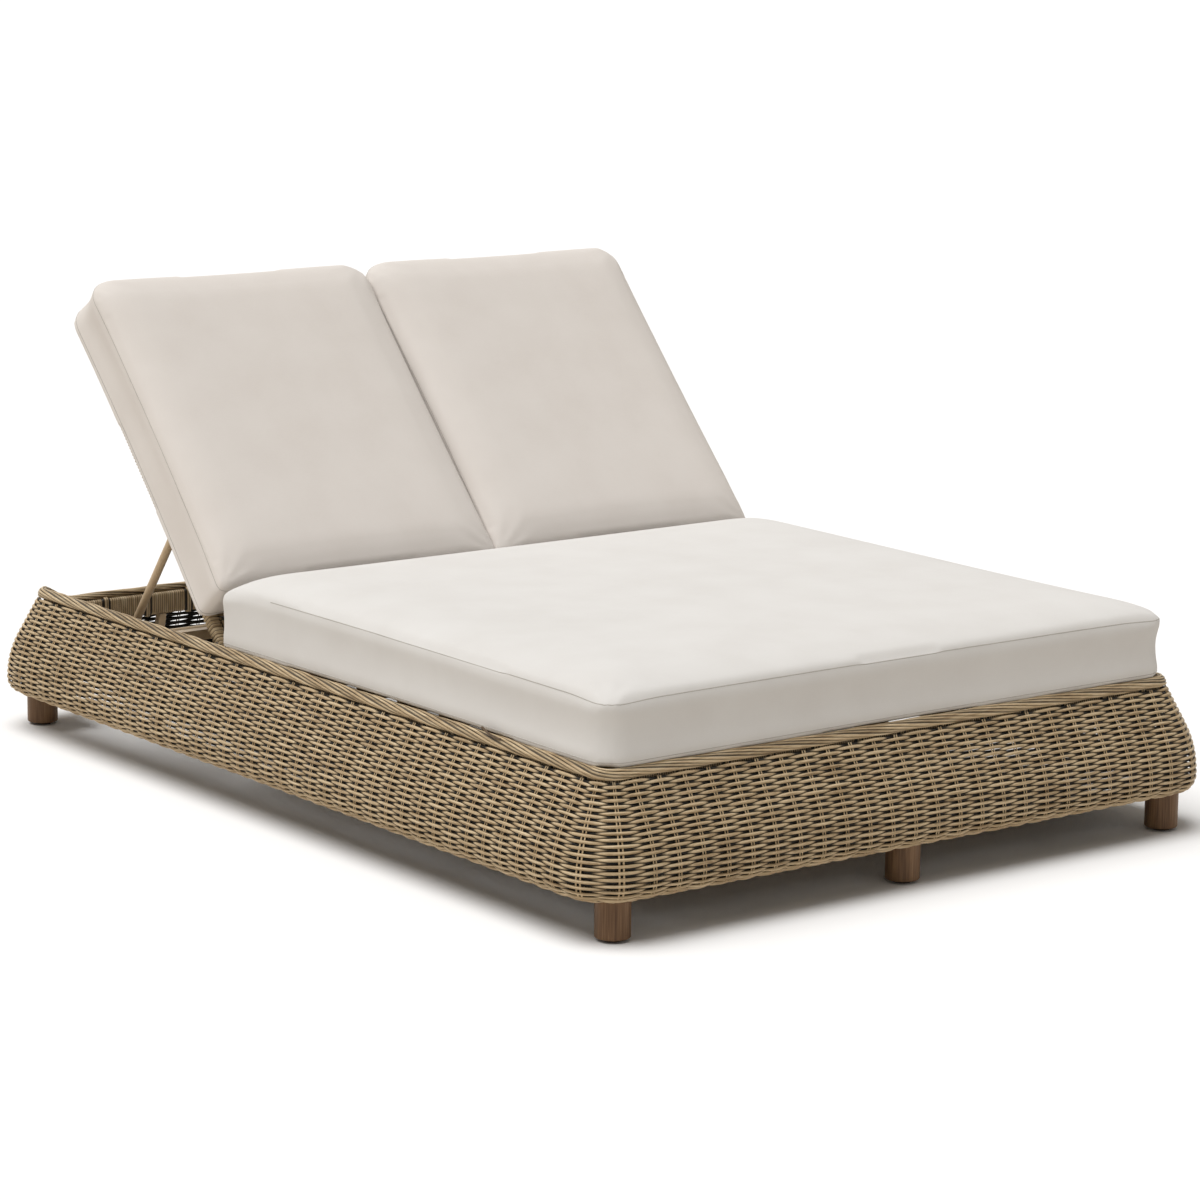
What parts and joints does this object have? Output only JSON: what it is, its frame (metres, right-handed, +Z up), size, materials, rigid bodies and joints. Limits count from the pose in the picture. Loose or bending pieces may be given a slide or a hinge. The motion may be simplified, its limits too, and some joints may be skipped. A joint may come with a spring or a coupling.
{
  "type": "double chaise lounger",
  "caption": "Double-width outdoor lounger on a flared woven base, with loose boxed cushions and side-by-side backrests that tilt on prop stands.",
  "frame": {"origin": "on the floor, under the middle of the woven base", "axes": "+Z up, +Y from the foot end to the head end, +X to the right seen from the foot"},
  "size_m": [1.42, 2, 0.9068],
  "materials": {
    "strand": "round synthetic strand, light tan",
    "seat_fabric": "linen-like outdoor fabric, light grey-beige",
    "back_fabric": "linen-like outdoor fabric, light beige",
    "brown_leg": "brown, with a wood-grain print",
    "bronze": "champagne bronze powder coat",
    "zinc": "zinc plated",
    "glide": "dark rubber"
  },
  "bodies": {
    "base": {"seat_cushion": "seat_fabric", "skirt_foot": "strand", "skirt_head": "strand", "skirt_left": "strand", "skirt_right": "strand", "rim_braid_foot": "strand", "rim_braid_head": "strand", "rim_braid_left": "strand", "rim_braid_right": "strand", "upper_rail_foot": "strand", "upper_rail_head": "strand", "upper_rail_left": "strand", "upper_rail_right": "strand", "lower_rail_foot": "strand", "lower_rail_head": "strand", "lower_rail_left": "strand", "lower_rail_right": "strand", "frame_posts": "bronze", "seat_slats": "bronze", "seat_beam_left": "bronze", "seat_beam_centre": "bronze", "seat_beam_right": "bronze", "rear_seat_beam": "bronze", "back_rest_beam": "bronze", "hinge_ears": "bronze", "leg_foot_left": "brown_leg", "leg_foot_middle": "brown_leg", "leg_foot_right": "brown_leg", "leg_head_left": "brown_leg", "leg_head_middle": "brown_leg", "leg_head_right": "brown_leg", "leg_glides": "glide", "leg_plates": "zinc", "leg_bolts": "zinc", "left_prop_rack_outer": "bronze", "left_prop_rack_inner": "bronze", "right_prop_rack_outer": "bronze", "right_prop_rack_inner": "bronze", "rack_hangers": "bronze", "rack_stops": "bronze"},
    "left_backrest": {"left_back_outer_rail": "strand", "left_back_inner_rail": "strand", "left_back_bottom_rail": "strand", "left_back_top_rail": "strand", "left_back_panel": "strand", "left_hinge_pins": "zinc", "left_prop_pins": "zinc"},
    "left_prop": {"left_prop_stand": "bronze"},
    "left_cushion": {"left_back_cushion": "back_fabric"},
    "right_backrest": {"right_back_outer_rail": "strand", "right_back_inner_rail": "strand", "right_back_bottom_rail": "strand", "right_back_top_rail": "strand", "right_back_panel": "strand", "right_hinge_pins": "zinc", "right_prop_pins": "zinc"},
    "right_prop": {"right_prop_stand": "bronze"},
    "right_cushion": {"right_back_cushion": "back_fabric"}
  },
  "joints": [
    {"name": "left_back_hinge", "type": "hinge", "parent": "base", "child": "left_backrest", "pos_m": [0, 0.296, 0.27], "axis": [1, 0, 0], "range_deg": [-47.5, 0]},
    {"name": "left_prop_hinge", "type": "hinge", "parent": "left_backrest", "child": "left_prop", "pos_m": [0, 0.48445, 0.46529], "axis": [1, 0, 0], "range_deg": [0, 91.3]},
    {"name": "left_cushion_slide", "type": "slide", "parent": "left_backrest", "child": "left_cushion", "axis": [0, 0.6756, 0.7373], "range_m": [-0.0882, 0]},
    {"name": "right_back_hinge", "type": "hinge", "parent": "base", "child": "right_backrest", "pos_m": [0, 0.296, 0.27], "axis": [1, 0, 0], "range_deg": [-47.5, 0]},
    {"name": "right_prop_hinge", "type": "hinge", "parent": "right_backrest", "child": "right_prop", "pos_m": [0, 0.48445, 0.46529], "axis": [1, 0, 0], "range_deg": [0, 91.3]},
    {"name": "right_cushion_slide", "type": "slide", "parent": "right_backrest", "child": "right_cushion", "axis": [0, 0.6756, 0.7373], "range_m": [-0.0882, 0]}
  ],
  "couplings": [
    {"joint": "left_prop_hinge", "follows": "left_back_hinge", "ratio": -1.9191},
    {"joint": "left_cushion_slide", "follows": "left_back_hinge", "m_per_rad": 0.1061},
    {"joint": "right_prop_hinge", "follows": "right_back_hinge", "ratio": -1.9191},
    {"joint": "right_cushion_slide", "follows": "right_back_hinge", "m_per_rad": 0.1061}
  ]
}
